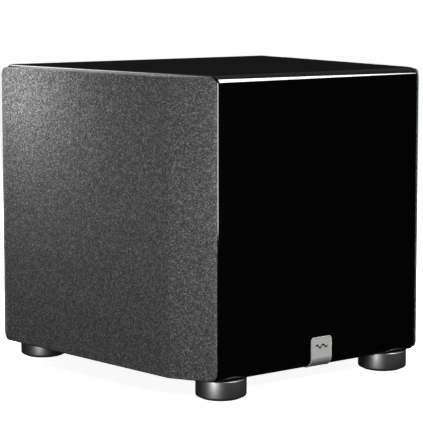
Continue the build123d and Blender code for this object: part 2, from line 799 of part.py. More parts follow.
# mains inlet module: socket, fuse drawer and power rocker in one moulding
face_out = plate_t + inlet_lip
inlet = rear_block(inlet_x, inlet_up, inlet_w, inlet_h, -plate_t, face_out, inlet_rim)
inlet += rear_block(inlet_x, inlet_up, body_w, body_h, inlet_deep, plate_t + 0.5, cut_round)
mouth_floor = mouth_deep - face_out
socket = rear_block(socket_x, inlet_up, socket_w, socket_h, mouth_floor, face_out + 1)
keys = socket.edges().filter_by(Axis.Y).group_by(Axis.Z)[-1]
inlet -= chamfer(keys, mouth_corner)
for dx, up in ((-contact_x, contact_low), (contact_x, contact_low), (0, contact_high)):
    x = socket_x + dx
    inlet += rear_block(x, inlet_up + up, contact_w, contact_h, mouth_floor + 1, plate_t - 1)
hole_w = drawer_w + 2 * slip_gap
hole_h = drawer_h + 2 * slip_gap
inlet -= rear_block(drawer_x, inlet_up, hole_w, hole_h, drawer_deep + 1, face_out + 1)
hole_w = rocker_w + 2 * slip_gap
hole_h = rocker_h + 2 * rocker_swing
inlet -= rear_block(rocker_x, inlet_up, hole_w, hole_h, rocker_deep, face_out + 1)
write("mains_inlet", inlet)
drawer = rear_block(drawer_x, inlet_up, drawer_w, drawer_h, drawer_deep, face_out + drawer_proud)
fuse_w = drawer_w - 2 * drawer_wall
drawer -= rear_block(drawer_x, inlet_up, fuse_w, fuse_l, drawer_deep - drawer_floor, -drawer_wall)
notch_up = inlet_up + drawer_h / 2
drawer -= rear_block(drawer_x, notch_up, drawer_w / 2, notch_h, notch_t - face_out, face_out + 1)
write("fuse_drawer", drawer)

# rocker: a shallow V that tips about X; at rest its lower half is pressed in
rocker_y = y_rear + face_out - rocker_sunk
rocker_foot = rocker_h / 2 - rocker_taper
rocker_end = rocker_h / 2 - rocker_clear
rocker_up = [
    (-rocker_foot, -rocker_low),
    (rocker_foot, -rocker_low),
    (rocker_end, rocker_high),
    (0, rocker_high - rocker_dip),
    (-rocker_end, rocker_high),
]
profile = make_face(Polyline(*[(0, out, up) for up, out in rocker_up], close=True))
rocker = extrude(profile, amount=rocker_w / 2, both=True)
write("power_rocker", Pos(rocker_x, rocker_y, z_mid + inlet_up) * Rot(rocker_tip, 0, 0) * rocker)

# amplifier board on posts behind the heatsink, with its two reservoir capacitors
board_y = y_rear - amp_board_off
board_low = z_mid + amp_board_up - amp_board_h / 2
board_high = board_low + amp_board_h
amp_board = block(-amp_board_w / 2, amp_board_w / 2, board_y - board_t, board_y, board_low, board_high)
post_x = amp_board_w / 2 - post_in
post_up = amp_board_h / 2 - post_in
for x in (-post_x, post_x):
    for up in (-post_up, post_up):
        amp_board += rear_rod(x, amp_board_up + up, post_r, amp_board_off + 0.5, 0)
chip_in = amp_board_off + 0.5
chip_out = chip_t - amp_board_off
for i in range(chip_count):
    x = chip_x + (i - (chip_count - 1) / 2) * chip_pitch
    amp_board += rear_block(x, amp_board_up + chip_up, chip_w, chip_h, chip_in, chip_out)
write("amp_board", amp_board)
cans = []
for x in can_xs:
    centre = Plane((x, board_y - board_t, z_mid + amp_board_up - can_down), x_dir=(1, 0, 0), z_dir=(0, -1, 0))
    can = rod(can_r, 0, can_h)
    cans.append(centre.location * fillet(can.edges().group_by(Axis.Z)[-1], 1.5))
write("capacitors", *cans)

# toroidal transformer bolted to the plate
toroid = tube(coil_r, coil_hole_r, 0, coil_h)
toroid = fillet(toroid.edges().filter_by(GeomType.CIRCLE), coil_round)
washer = rod(coil_r / 2, 0, washer_t)
toroid += washer + Pos(0, 0, coil_h) * washer + rod(post_r, 0, coil_h + washer_t + post_r)
seat = Plane((coil_x, y_rear, z_mid + coil_up), x_dir=(1, 0, 0), z_dir=(0, -1, 0))
write("transformer", seat.location * toroid)
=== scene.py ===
import json
import math

import bpy
from mathutils import Matrix, Vector
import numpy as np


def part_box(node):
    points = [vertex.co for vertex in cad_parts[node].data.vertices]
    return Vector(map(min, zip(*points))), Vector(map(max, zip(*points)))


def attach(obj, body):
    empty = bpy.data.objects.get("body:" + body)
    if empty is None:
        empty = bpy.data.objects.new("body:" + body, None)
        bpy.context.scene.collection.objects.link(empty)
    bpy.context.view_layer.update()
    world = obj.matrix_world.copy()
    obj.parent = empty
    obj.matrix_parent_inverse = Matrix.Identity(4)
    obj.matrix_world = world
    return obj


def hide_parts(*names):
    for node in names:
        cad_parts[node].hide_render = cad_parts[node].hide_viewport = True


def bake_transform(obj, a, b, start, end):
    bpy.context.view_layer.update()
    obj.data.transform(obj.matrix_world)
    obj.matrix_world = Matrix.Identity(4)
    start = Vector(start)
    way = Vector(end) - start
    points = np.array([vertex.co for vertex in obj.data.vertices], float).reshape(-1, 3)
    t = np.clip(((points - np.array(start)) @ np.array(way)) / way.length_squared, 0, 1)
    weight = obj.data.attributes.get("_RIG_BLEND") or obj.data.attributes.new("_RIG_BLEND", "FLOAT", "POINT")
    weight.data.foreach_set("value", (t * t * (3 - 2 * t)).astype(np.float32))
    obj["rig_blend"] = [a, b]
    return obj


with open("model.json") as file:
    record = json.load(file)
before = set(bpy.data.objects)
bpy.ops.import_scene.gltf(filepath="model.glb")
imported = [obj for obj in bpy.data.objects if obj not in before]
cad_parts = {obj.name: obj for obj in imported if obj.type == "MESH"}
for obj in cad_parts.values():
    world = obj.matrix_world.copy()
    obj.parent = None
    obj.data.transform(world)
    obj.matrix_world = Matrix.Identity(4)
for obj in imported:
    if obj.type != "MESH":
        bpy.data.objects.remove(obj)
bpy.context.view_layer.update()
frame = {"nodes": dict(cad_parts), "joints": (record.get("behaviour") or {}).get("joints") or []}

# ---------- The cabinet wrap ----------
# Front, top, rear and bottom are fibreboard panels, mitred into one ring that widens to the rear, rounded on
# its four long edges, sprayed with black polyester and polished, so no joint shows. The side walls are set in
# its open ends, each square to its driver's axis.
MM = 0.001
front_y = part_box("front_panel")[0].y
rear_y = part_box("rear_panel")[1].y
low_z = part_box("bottom_panel")[0].z
top_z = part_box("top_panel")[1].z
mid_y = (front_y + rear_y) / 2
mid_z = (low_z + top_z) / 2
panel_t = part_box("bottom_panel")[1].z - low_z
axes = {j["child"].split("_")[0]: Vector(j["axis"]) for j in frame["joints"] if "cone" in j["name"]}
flare = math.asin(-axes["right"].y)
front_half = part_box("front_panel")[1].x - panel_t * math.tan(flare)
round_edge = 12 * MM
side_edge = 3 * MM


def half_width(y):
    """Half the cabinet's width at a depth."""
    return front_half + (y - front_y) * math.tan(flare)


def only(obj):
    """Leaves one object selected and active."""
    bpy.ops.object.select_all(action="DESELECT")
    obj.select_set(True)
    bpy.context.view_layer.objects.active = obj
    return obj


def edit(obj, mode="FACE"):
    """Opens an object in edit mode with nothing selected."""
    only(obj)
    bpy.ops.object.mode_set(mode="EDIT")
    bpy.ops.mesh.select_mode(type=mode)
    bpy.ops.mesh.select_all(action="DESELECT")


def done():
    bpy.ops.object.mode_set(mode="OBJECT")


def pick(obj, mode, test):
    """Selects the faces, edges or vertices that pass a test, and nothing else, and stays in edit mode."""
    edit(obj, mode)
    done()
    group = {"FACE": obj.data.polygons, "EDGE": obj.data.edges, "VERT": obj.data.vertices}[mode]
    for item in group:
        item.select = bool(test(item))
    bpy.ops.object.mode_set(mode="EDIT")


def ends(obj, edge):
    """The two ends of an edge."""
    return [obj.data.vertices[i].co for i in edge.vertices]


def runs_along(obj, axis):
    """A test for edges that run along an axis."""
    return lambda e: abs((ends(obj, e)[0] - ends(obj, e)[1]).normalized()[axis]) > 0.99


def settle(obj, angle=35):
    """Puts the object's place into its mesh and smooths it below an angle."""
    only(obj)
    bpy.ops.object.transform_apply(location=True, rotation=True, scale=True)
    bpy.ops.object.shade_smooth_by_angle(angle=math.radians(angle))
    return obj


def modify(obj, kind, **settings):
    """Adds a modifier with its settings and applies it."""
    only(obj)
    mod = obj.modifiers.new(kind.title(), kind)
    for key, value in settings.items():
        setattr(mod, key, value)
    bpy.ops.object.modifier_apply(modifier=mod.name)
    return obj


def cube(name, low, high):
    """A block between two corners."""
    bpy.ops.object.select_all(action="DESELECT")
    bpy.ops.mesh.primitive_cube_add(size=1, location=(Vector(low) + Vector(high)) / 2)
    obj = bpy.context.active_object
    obj.name = name
    obj.scale = Vector(high) - Vector(low)
    bpy.ops.object.transform_apply(location=True, rotation=True, scale=True)
    return obj


def cut(obj, tool):
    """Cuts a shape out of an object. The tool is used up."""
    modify(obj, "BOOLEAN", object=tool, operation="DIFFERENCE", solver="EXACT")
    bpy.data.objects.remove(tool)
    return obj


def finish(obj, body, slot, mat, *nodes):
    """The piece's body and material, and the CAD nodes it stands for; the slot is not used."""
    if mat.name not in obj.data.materials:
        obj.data.materials.append(mat)
    if nodes:
        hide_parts(*nodes)
    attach(obj, body)
    return obj


def shade(hex_colour):
    """An sRGB hex colour as the linear colour that a shader takes."""
    parts = [int(hex_colour[i : i + 2], 16) / 255 for i in (1, 3, 5)]
    return [c / 12.92 if c <= 0.04045 else ((c + 0.055) / 1.055) ** 2.4 for c in parts] + [1]


def blank(name):
    """An empty material to build on, and its Object coordinates."""
    mat = bpy.data.materials.new(name)
    mat.use_nodes = True
    mat.node_tree.nodes.clear()
    return mat, add(mat, "TexCoord").outputs["Object"]


def add(mat, kind, settings=None, **inputs):
    """Adds a node with its settings and its links.

    An input named a_b is the socket A B, and n_3 is socket 3.
    """
    node = mat.node_tree.nodes.new("ShaderNode" + kind)
    for key, value in (settings or {}).items():
        setattr(node, key, value)
    for key, value in inputs.items():
        name = int(key[2:]) if key.startswith("n_") else key.replace("_", " ")
        socket = node.inputs[name]
        if isinstance(value, bpy.types.NodeSocket):
            mat.node_tree.links.new(value, socket)
        else:
            socket.default_value = value
    if kind == "BsdfPrincipled":
        add(mat, "OutputMaterial", Surface=node.outputs[0])
    return node


# Polished polyester lacquer over black base coat: a mirror with the faintest orange peel, a wave of a few
# millimetres, and hairlines from dusting that only change the gloss.
lacquer, spot = blank("polyester_lacquer_polished")
peel = add(lacquer, "TexNoise", Vector=spot, Scale=1 / (9 * MM), Detail=1.0)
wave = add(lacquer, "Bump", Strength=0.02, Distance=0.2 * MM, Height=peel.outputs["Fac"])
haze = add(lacquer, "TexNoise", Vector=spot, Scale=1 / (60 * MM), Detail=6.0)
gloss = add(lacquer, "MapRange", Value=haze.outputs["Fac"], To_Min=0.03, To_Max=0.075)
add(
    lacquer,
    "BsdfPrincipled",
    Base_Color=shade("#050506"),
    Roughness=gloss.outputs[0],
    IOR=1.52,
    Normal=wave.outputs[0],
)

wide = half_width(rear_y) * 2  # well past the sides
wrap = cube("cabinet_wrap", (-front_half, front_y, low_z), (front_half, rear_y, top_z))
pick(wrap, "FACE", lambda f: f.normal.y > 0.9)
bpy.ops.transform.resize(value=(half_width(rear_y) / front_half, 1, 1), center_override=(0, 0, mid_z))
done()
pick(wrap, "EDGE", runs_along(wrap, 0))
bpy.ops.mesh.bevel(offset=round_edge, segments=16, affect="EDGES", clamp_overlap=False)
done()
side_rims = [set(f.edge_keys) for f in wrap.data.polygons if abs(f.normal.x) > 0.9]
pick(wrap, "EDGE", lambda e: any(e.key in s for s in side_rims))
bpy.ops.mesh.bevel(offset=side_edge, segments=6, affect="EDGES", clamp_overlap=False)
done()
hollow_low = (-wide, front_y + panel_t, low_z + panel_t)
hollow_high = (wide, rear_y - panel_t, top_z - panel_t)
cut(wrap, cube("hollow", hollow_low, hollow_high))
plate_low, plate_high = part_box("amp_plate")
lip = 20 * MM  # what the amplifier's plate laps over, round the hatch
hatch_low = (plate_low.x + lip, rear_y - 2 * panel_t, plate_low.z + lip)
hatch_high = (plate_high.x - lip, rear_y + panel_t, plate_high.z - lip)
cut(wrap, cube("hatch", hatch_low, hatch_high))
settle(wrap, 25)
modify(wrap, "WEIGHTED_NORMAL", keep_sharp=True, weight=80)
finish(wrap, "root", "piano_lacquer", lacquer, "front_panel", "top_panel", "rear_panel", "bottom_panel")

# ---------- The badge ----------
# A die-cast zinc plate with a raised rim, satin nickel plated, folded under the round bottom edge of the
# front and stuck on. Its mark is a plain wavy line, filled with black enamel.
badge_low, badge_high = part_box("badge")
badge_t = front_y - badge_low.y
badge_corner = 4 * MM
badge_rim = 0.9 * MM
badge_sink = 0.35 * MM
badge_break = 0.18 * MM
badge = cube("badge_plate", badge_low, badge_high)
pick(badge, "EDGE", lambda e: all(v.y < front_y and v.z < low_z for v in ends(badge, e)))
bpy.ops.mesh.bevel(offset=round_edge + badge_t, segments=16, affect="EDGES", clamp_overlap=False)
done()
core = cube("core", (-wide, front_y, low_z), (wide, rear_y, top_z))
pick(core, "EDGE", lambda e: all(v.y < mid_y and v.z < mid_z for v in ends(core, e)))
bpy.ops.mesh.bevel(offset=round_edge, segments=16, affect="EDGES", clamp_overlap=False)
done()
cut(badge, core)
top_corners = runs_along(badge, 1)
pick(badge, "EDGE", lambda e: top_corners(e) and all(v.z > badge_high.z - MM / 10 for v in ends(badge, e)))
bpy.ops.mesh.bevel(offset=badge_corner, segments=8, affect="EDGES", clamp_overlap=False)
done()
pick(badge, "FACE", lambda f: f.normal.y < -0.02 or f.normal.z < -0.02)
bpy.ops.mesh.inset(thickness=badge_rim, depth=0)
bpy.ops.mesh.inset(thickness=badge_sink, depth=-badge_sink)
done()
modify(badge, "BEVEL", width=badge_break, segments=2, limit_method="ANGLE", angle_limit=math.radians(40))
settle(badge, 30)
modify(badge, "WEIGHTED_NORMAL", keep_sharp=True, weight=80)

# Satin nickel on cast zinc: bright, softly blurred across the grain of the brush, which runs along X.
nickel, spot = blank("satin_nickel_brushed")
grain = add(nickel, "Mapping", Vector=spot, Scale=(1 / (20 * MM), 1 / (0.5 * MM), 1 / (0.5 * MM)))
line = add(nickel, "TexNoise", Vector=grain.outputs[0], Scale=1.0, Detail=2.0)
brush = add(nickel, "MapRange", Value=line.outputs["Fac"], To_Min=0.5, To_Max=0.62)
add(nickel, "BsdfPrincipled", Base_Color=shade("#dfdedc"), Metallic=1.0, Roughness=brush.outputs[0])
finish(badge, "root", "badge_metal", nickel, "badge")

# Stove enamel: black, slightly glossy, with a soft crown where it filled the engraved mark.
enamel, spot = blank("black_enamel_filled")
crown = add(enamel, "TexNoise", Vector=spot, Scale=1 / (2 * MM), Detail=1.0)
melt = add(enamel, "Bump", Strength=0.05, Distance=0.1 * MM, Height=crown.outputs["Fac"])
add(enamel, "BsdfPrincipled", Base_Color=shade("#08080a"), Roughness=0.3, Normal=melt.outputs[0])
mark_w = 19 * MM
mark_h = 1.8 * MM
mark_line = 2.4 * MM
mark_t = 0.15 * MM
mark_sunk = 0.05 * MM
mark_waves = 2
mark_z = badge_low.z + 27 * MM
bpy.ops.mesh.primitive_grid_add(x_subdivisions=60, y_subdivisions=1, size=1)
mark = bpy.context.active_object
mark.name = "badge_mark"
mark.scale = (mark_w, mark_line, 1)
mark.rotation_euler = (math.radians(90), 0, 0)
mark.location = (0, front_y - badge_t + badge_sink - mark_sunk, mark_z)
settle(mark)
for v in mark.data.vertices:
    v.co.z += mark_h * math.sin(v.co.x / mark_w * mark_waves * 2 * math.pi)
modify(mark, "SOLIDIFY", thickness=mark_t, offset=0)
finish(mark, "root", "badge_metal", enamel)

# ---------- The feet ----------
# Four turned aluminium cups, bead blasted and anodised dark grey, each bolted up into a steel insert. A ring
# of rubber sits in the cup and stands a little proud of it.


def rotate_about(points, steps):
    """Spins a closed section of (radius, height) about Z. The section is walked by extruding a corner."""
    bpy.ops.object.select_all(action="DESELECT")
    bpy.ops.mesh.primitive_plane_add(size=MM)
    obj = bpy.context.active_object
    bpy.ops.object.mode_set(mode="EDIT")
    bpy.ops.mesh.select_mode(type="VERT")
    bpy.ops.mesh.select_all(action="SELECT")
    bpy.ops.mesh.merge(type="CENTER")
    bpy.ops.transform.translate(value=(points[0][0], 0, points[0][1]))
    for (r0, z0), (r1, z1) in zip(points, points[1:] + points[:1]):
        bpy.ops.mesh.extrude_region_move(TRANSFORM_OT_translate={"value": (r1 - r0, 0, z1 - z0)})
    bpy.ops.mesh.select_all(action="SELECT")
    bpy.ops.mesh.remove_doubles(threshold=MM / 1000)
    bpy.ops.mesh.spin(steps=steps, angle=2 * math.pi, center=(0, 0, 0), axis=(0, 0, 1))
    bpy.ops.mesh.select_all(action="SELECT")
    bpy.ops.mesh.remove_doubles(threshold=MM / 1000)
    bpy.ops.mesh.normals_make_consistent(inside=False)
    done()
    return obj


def turned(name, points, place=None, steps=96, angle=30):
    """A turned piece, with its place in its mesh."""
    obj = rotate_about(points, steps)
    obj.name = name
    obj.matrix_world = place or Matrix.Identity(4)
    return settle(obj, angle)


def arc(r, z, radius, start, end, count):
    """Points of an arc in the section's plane, angles in degrees."""
    steps = [math.radians(start + (end - start) * i / count) for i in range(count + 1)]
    return [(r + radius * math.cos(a), z + radius * math.sin(a)) for a in steps]


# Dark grey anodising over a bead-blasted turning: a soft metallic sheen with a fine even grit.
anodised, spot = blank("aluminium_anodised_dark_grey")
grit = add(anodised, "TexNoise", Vector=spot, Scale=1 / (0.6 * MM), Detail=2.0)
blast = add(anodised, "Bump", Strength=0.12, Distance=0.05 * MM, Height=grit.outputs["Fac"])
add(
    anodised,
    "BsdfPrincipled",
    Base_Color=shade("#747474"),
    Metallic=1.0,
    Roughness=0.42,
    Normal=blast.outputs[0],
)

foot_low, foot_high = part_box("foot_front_left")
foot_r = (foot_high.x - foot_low.x) / 2
foot_rim = foot_r - 5 * MM
foot_lip = 1 * MM
foot_base = 2.4 * MM
pad_seat = 3 * MM
bolt_hole_r = 4.1 * MM
shell_section = (
    [(bolt_hole_r, foot_high.z)]
    + arc(foot_r - foot_lip, foot_high.z - foot_lip, foot_lip, 90, 0, 4)
    + arc(foot_r - foot_base, foot_low.z + foot_base, foot_base, 0, -90, 6)
    + [(foot_rim, foot_low.z), (foot_rim, foot_low.z + pad_seat)]
    + [(bolt_hole_r, foot_low.z + pad_seat)]
)
for name in ("foot_front_left", "foot_front_right", "foot_rear_left", "foot_rear_right"):
    low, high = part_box(name)
    place = Matrix.Translation(((low.x + high.x) / 2, (low.y + high.y) / 2, 0))
    foot = turned(name.replace("foot", "cup"), shell_section, place, steps=128)
    finish(foot, "root", "foot_metal", anodised, name)


def refined(node, name, width=0.0, angle=35, segments=2):
    """A piece made from a copy of a CAD node: merged, its flat faces joined, and its edges broken."""
    only(frame["nodes"][node])
    bpy.ops.object.duplicate()
    obj = bpy.context.active_object
    obj.name = name
    obj.parent = None
    obj.matrix_world = Matrix.Identity(4)
    for key in list(obj.keys()):
        del obj[key]
    obj.data.materials.clear()
    edit(obj)
    bpy.ops.mesh.select_all(action="SELECT")
    bpy.ops.mesh.remove_doubles(threshold=MM / 1000)
    bpy.ops.mesh.dissolve_limited(angle_limit=math.radians(1), delimit={"NORMAL"})
    done()
    if width:
        limit = math.radians(angle)
        modify(obj, "BEVEL", width=width, segments=segments, limit_method="ANGLE", angle_limit=limit)
    settle(obj, 35)
    return modify(obj, "WEIGHTED_NORMAL", keep_sharp=True, weight=80)


# Moulded nitrile rubber: matt black, with the faint dusty bloom of a pad that stands on a floor.
rubber, spot = blank("nitrile_rubber_moulded")
bloom = add(rubber, "TexNoise", Vector=spot, Scale=1 / (4 * MM), Detail=5.0)
dust = add(rubber, "ValToRGB", Fac=bloom.outputs["Fac"])
dust.color_ramp.elements[0].color = shade("#131313")
dust.color_ramp.elements[1].color = shade("#242423")
add(rubber, "BsdfPrincipled", Base_Color=dust.outputs[0], Roughness=0.75, Specular_IOR_Level=0.35)
pads = refined("foot_pads", "foot_rubbers", 0.3 * MM)
finish(pads, "root", "foot_rubber", rubber, "foot_pads")

# Bright zinc on steel, with a faint blue passivation that varies from place to place.
zinc, spot = blank("steel_zinc_plated")
bath = add(zinc, "TexNoise", Vector=spot, Scale=1 / (5 * MM), Detail=3.0)
tint = add(zinc, "ValToRGB", Fac=bath.outputs["Fac"])
tint.color_ramp.elements[0].color = shade("#a9adb4")
tint.color_ramp.elements[1].color = shade("#c4c2b8")
add(zinc, "BsdfPrincipled", Base_Color=tint.outputs[0], Metallic=1.0, Roughness=0.33)


def dress(mat, *nodes):
    """Gives CAD nodes a material."""
    for node in nodes:
        mesh = frame["nodes"][node].data
        mesh.materials.clear()
        mesh.materials.append(mat)


dress(zinc, "foot_bolts", "foot_inserts", "woofer_terminals")

# ---------- The side walls and the brace ----------
# Each driver bolts to a side wall of 18 mm fibreboard, painted satin black because it shows behind the
# grille's edge. A bare board with a window in it ties the wrap together between the two drivers.
sides = {"left": -1, "right": 1}
paint, spot = blank("satin_black_paint_on_board")
fibre = add(paint, "TexNoise", Vector=spot, Scale=1 / (1.2 * MM), Detail=4.0)
nap = add(paint, "Bump", Strength=0.15, Distance=0.08 * MM, Height=fibre.outputs["Fac"])
add(paint, "BsdfPrincipled", Base_Color=shade("#0d0d0e"), Roughness=0.42, Normal=nap.outputs[0])
for name in sides:
    wall = refined(f"{name}_baffle", f"{name}_side_wall")
    finish(wall, "root", "mdf", paint, f"{name}_baffle")

# Medium density fibreboard: fine brown felted fibre, darker where the saw and cutter scorched it.
board, spot = blank("fibreboard_bare")
felt = add(board, "TexNoise", Vector=spot, Scale=1 / (1.5 * MM), Detail=6.0, Roughness=0.7)
brown = add(board, "ValToRGB", Fac=felt.outputs["Fac"])
brown.color_ramp.elements[0].position = 0.3
brown.color_ramp.elements[0].color = shade("#8a6a48")
brown.color_ramp.elements[1].position = 0.7
brown.color_ramp.elements[1].color = shade("#b8956b")
felted = add(board, "Bump", Strength=0.3, Distance=0.1 * MM, Height=felt.outputs["Fac"])
add(board, "BsdfPrincipled", Base_Color=brown.outputs[0], Roughness=0.85, Normal=felted.outputs[0])
brace = refined("window_brace", "brace_board", 0.5 * MM)
finish(brace, "root", "mdf", board, "window_brace")

# ---------- The wadding ----------
# Four pads of lofted polyester, cut from the roll and stapled inside the top and the bottom of the box. They
# swell a little between their staples.
fluff, spot = blank("polyester_wadding_lofted")
loft = add(fluff, "TexNoise", Vector=spot, Scale=1 / (7 * MM), Detail=6.0, Roughness=0.65)
white = add(fluff, "ValToRGB", Fac=loft.outputs["Fac"])
white.color_ramp.elements[0].color = shade("#c9c9c4")
white.color_ramp.elements[1].color = shade("#f2f2ee")
tuft = add(fluff, "Bump", Strength=0.8, Distance=2 * MM, Height=loft.outputs["Fac"])
add(
    fluff,
    "BsdfPrincipled",
    Base_Color=white.outputs[0],
    Roughness=0.95,
    Sheen_Weight=0.4,
    Normal=tuft.outputs[0],
)
swell = 4 * MM
voxel = 6 * MM
pads = refined("wadding", "wadding_pads")
modify(pads, "REMESH", mode="VOXEL", voxel_size=voxel)
modify(pads, "DISPLACE", strength=-swell, mid_level=0)
only(pads)
start = [v.co.copy() for v in pads.data.vertices]
cloth = pads.modifiers.new("Cloth", "CLOTH")
cloth.settings.use_pressure = True
cloth.settings.uniform_pressure_force = 4
cloth.settings.effector_weights.gravity = 0
for step in range(1, 21):
    bpy.context.scene.frame_set(step)
bpy.ops.object.modifier_apply(modifier=cloth.name)
bpy.context.scene.frame_set(1)
for v, rest in zip(pads.data.vertices, start):
    move = v.co - rest
    v.co = rest + move * min(1, swell / max(move.length, MM / 1000))
modify(pads, "SUBSURF", levels=1, render_levels=1)
clouds = bpy.data.textures.new("loft", "CLOUDS")
clouds.noise_scale = 14 * MM
modify(pads, "DISPLACE", texture=clouds, strength=1.6 * MM, mid_level=0.6)
settle(pads, 180)
finish(pads, "root", "wadding", fluff, "wadding")

# ---------- The drivers: motor and basket ----------
# A ferrite ring between a steel top plate and a steel yoke, under a basket of cast aluminium that is powder
# coated black. The motor is glued and pressed together; the basket bolts to the side wall.


def on_wall(side):
    """The driver's place: on the side wall, with Z out along the driver's axis and Y up."""
    out = axes["left" if side < 0 else "right"]
    up = Vector((0, 0, 1))
    turn = Matrix((up.cross(out), up, out)).transposed().to_4x4()
    return Matrix.Translation((side * half_width(mid_y), mid_y, mid_z)) @ turn


def along_axis(node, place):
    """A node's smallest and largest radius, and lowest and highest point, about the driver's axis."""
    points = [place.inverted() @ v.co for v in frame["nodes"][node].data.vertices]
    radii = [math.hypot(p.x, p.y) for p in points]
    heights = [p.z for p in points]
    return min(radii), max(radii), min(heights), max(heights)


places = {name: on_wall(side) for name, side in sides.items()}

# Black powder coat on cast aluminium: fine orange peel and a low gloss.
powder, spot = blank("cast_aluminium_powder_coated")
orange = add(powder, "TexNoise", Vector=spot, Scale=1 / (0.9 * MM), Detail=2.0)
stipple = add(powder, "Bump", Strength=0.35, Distance=0.1 * MM, Height=orange.outputs["Fac"])
add(powder, "BsdfPrincipled", Base_Color=shade("#141415"), Roughness=0.48, Normal=stipple.outputs[0])

# Black phosphated steel: dull, slightly mottled by the bath.
phosphate, spot = blank("steel_black_phosphated")
mottle = add(phosphate, "TexNoise", Vector=spot, Scale=1 / (3 * MM), Detail=5.0)
dull = add(phosphate, "MapRange", Value=mottle.outputs["Fac"], To_Min=0.4, To_Max=0.65)
add(phosphate, "BsdfPrincipled", Base_Color=shade("#3a3b3d"), Metallic=0.8, Roughness=dull.outputs[0])

# Sintered ferrite: charcoal ceramic, ground on its faces, with grains that catch the light.
ferrite, spot = blank("ferrite_sintered")
crystal = add(ferrite, "TexVoronoi", Vector=spot, Scale=1 / (0.8 * MM))
ground = add(ferrite, "MapRange", Value=crystal.outputs["Distance"], To_Min=0.45, To_Max=0.8)
add(ferrite, "BsdfPrincipled", Base_Color=shade("#333438"), Roughness=ground.outputs[0])

for name in sides:
    basket = refined(f"{name}_basket", f"{name}_chassis", 0.4 * MM)
    finish(basket, "root", "cast_basket", powder, f"{name}_basket")
    dress(phosphate, f"{name}_top_plate", f"{name}_pole_yoke")
    dress(ferrite, f"{name}_magnet")

# ---------- The drivers: spider, coil, cone and surround ----------
# The spider is cotton, dipped in resin and pressed hot into rings of waves. The coil is enamelled copper on a
# thin former. The cone is pressed paper pulp, coated black, with three ribs, and the surround a rubber roll.
wave_count = 4
wave_lift = 1.8 * MM
spider_t = 0.9 * MM
spider_rim = 3 * MM
wave_room = 9 * MM  # the flat ring outside the waves
wave_points = 40


def flex(piece, name, place, fixed_r, moving_r):
    """Makes a ring stretch from the basket to the cone: still outside one radius, moving inside the other."""
    centre = place @ Vector((0, 0, 0))
    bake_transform(piece, "root", f"{name}_cone_assembly", start=centre, end=centre + axes[name] * MM)
    inverse = place.inverted()
    weights = piece.data.attributes["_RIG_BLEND"].data
    for v in piece.data.vertices:
        p = inverse @ v.co
        t = min(1, max(0, (fixed_r - math.hypot(p.x, p.y)) / (fixed_r - moving_r)))
        weights[v.index].value = t * t * (3 - 2 * t)


# Resin-dipped cotton: an amber open weave, its threads about half a millimetre apart.
cotton, spot = blank("cotton_resin_dipped")
warp = add(cotton, "TexWave", {"bands_direction": "Y"}, Vector=spot, Scale=0.32 / MM, Distortion=0.4)
weft = add(cotton, "TexWave", {"bands_direction": "Z"}, Vector=spot, Scale=0.32 / MM, Distortion=0.4)
weave = add(cotton, "Math", {"operation": "MAXIMUM"}, n_0=warp.outputs["Fac"], n_1=weft.outputs["Fac"])
amber = add(cotton, "ValToRGB", Fac=weave.outputs[0])
amber.color_ramp.elements[0].color = shade("#6d4f1f")
amber.color_ramp.elements[1].color = shade("#c79a4a")
threads = add(cotton, "Bump", Strength=0.5, Distance=0.15 * MM, Height=weave.outputs[0])
add(cotton, "BsdfPrincipled", Base_Color=amber.outputs[0], Roughness=0.6, Normal=threads.outputs[0])

# Enamelled copper, close wound: a warm metal with a line for every turn of wire.
copper, spot = blank("copper_wire_enamelled")
turns = add(copper, "TexWave", {"bands_direction": "X"}, Vector=spot, Scale=0.4 / MM)
wound = add(copper, "Bump", Strength=0.6, Distance=0.15 * MM, Height=turns.outputs["Fac"])
add(
    copper,
    "BsdfPrincipled",
    Base_Color=shade("#b5643a"),
    Metallic=0.9,
    Roughness=0.32,
    Normal=wound.outputs[0],
)

# Pressed pulp, coated black: matt felted fibres under a thin soft coat.
pulp, spot = blank("paper_pulp_coated")
felt = add(pulp, "TexNoise", Vector=spot, Scale=1 / (1.1 * MM), Detail=6.0, Roughness=0.7)
ash = add(pulp, "ValToRGB", Fac=felt.outputs["Fac"])
ash.color_ramp.elements[0].color = shade("#121213")
ash.color_ramp.elements[1].color = shade("#262628")
felted = add(pulp, "Bump", Strength=0.4, Distance=0.15 * MM, Height=felt.outputs["Fac"])
add(pulp, "BsdfPrincipled", Base_Color=ash.outputs[0], Roughness=0.62, Normal=felted.outputs[0])

# Butyl rubber, moulded: deep black with a satin skin and a trace of mould bloom.
butyl, spot = blank("butyl_rubber_moulded")
skin = add(butyl, "TexNoise", Vector=spot, Scale=1 / (12 * MM), Detail=4.0)
satin = add(butyl, "MapRange", Value=skin.outputs["Fac"], To_Min=0.38, To_Max=0.55)
add(butyl, "BsdfPrincipled", Base_Color=shade("#111112"), Roughness=satin.outputs[0])

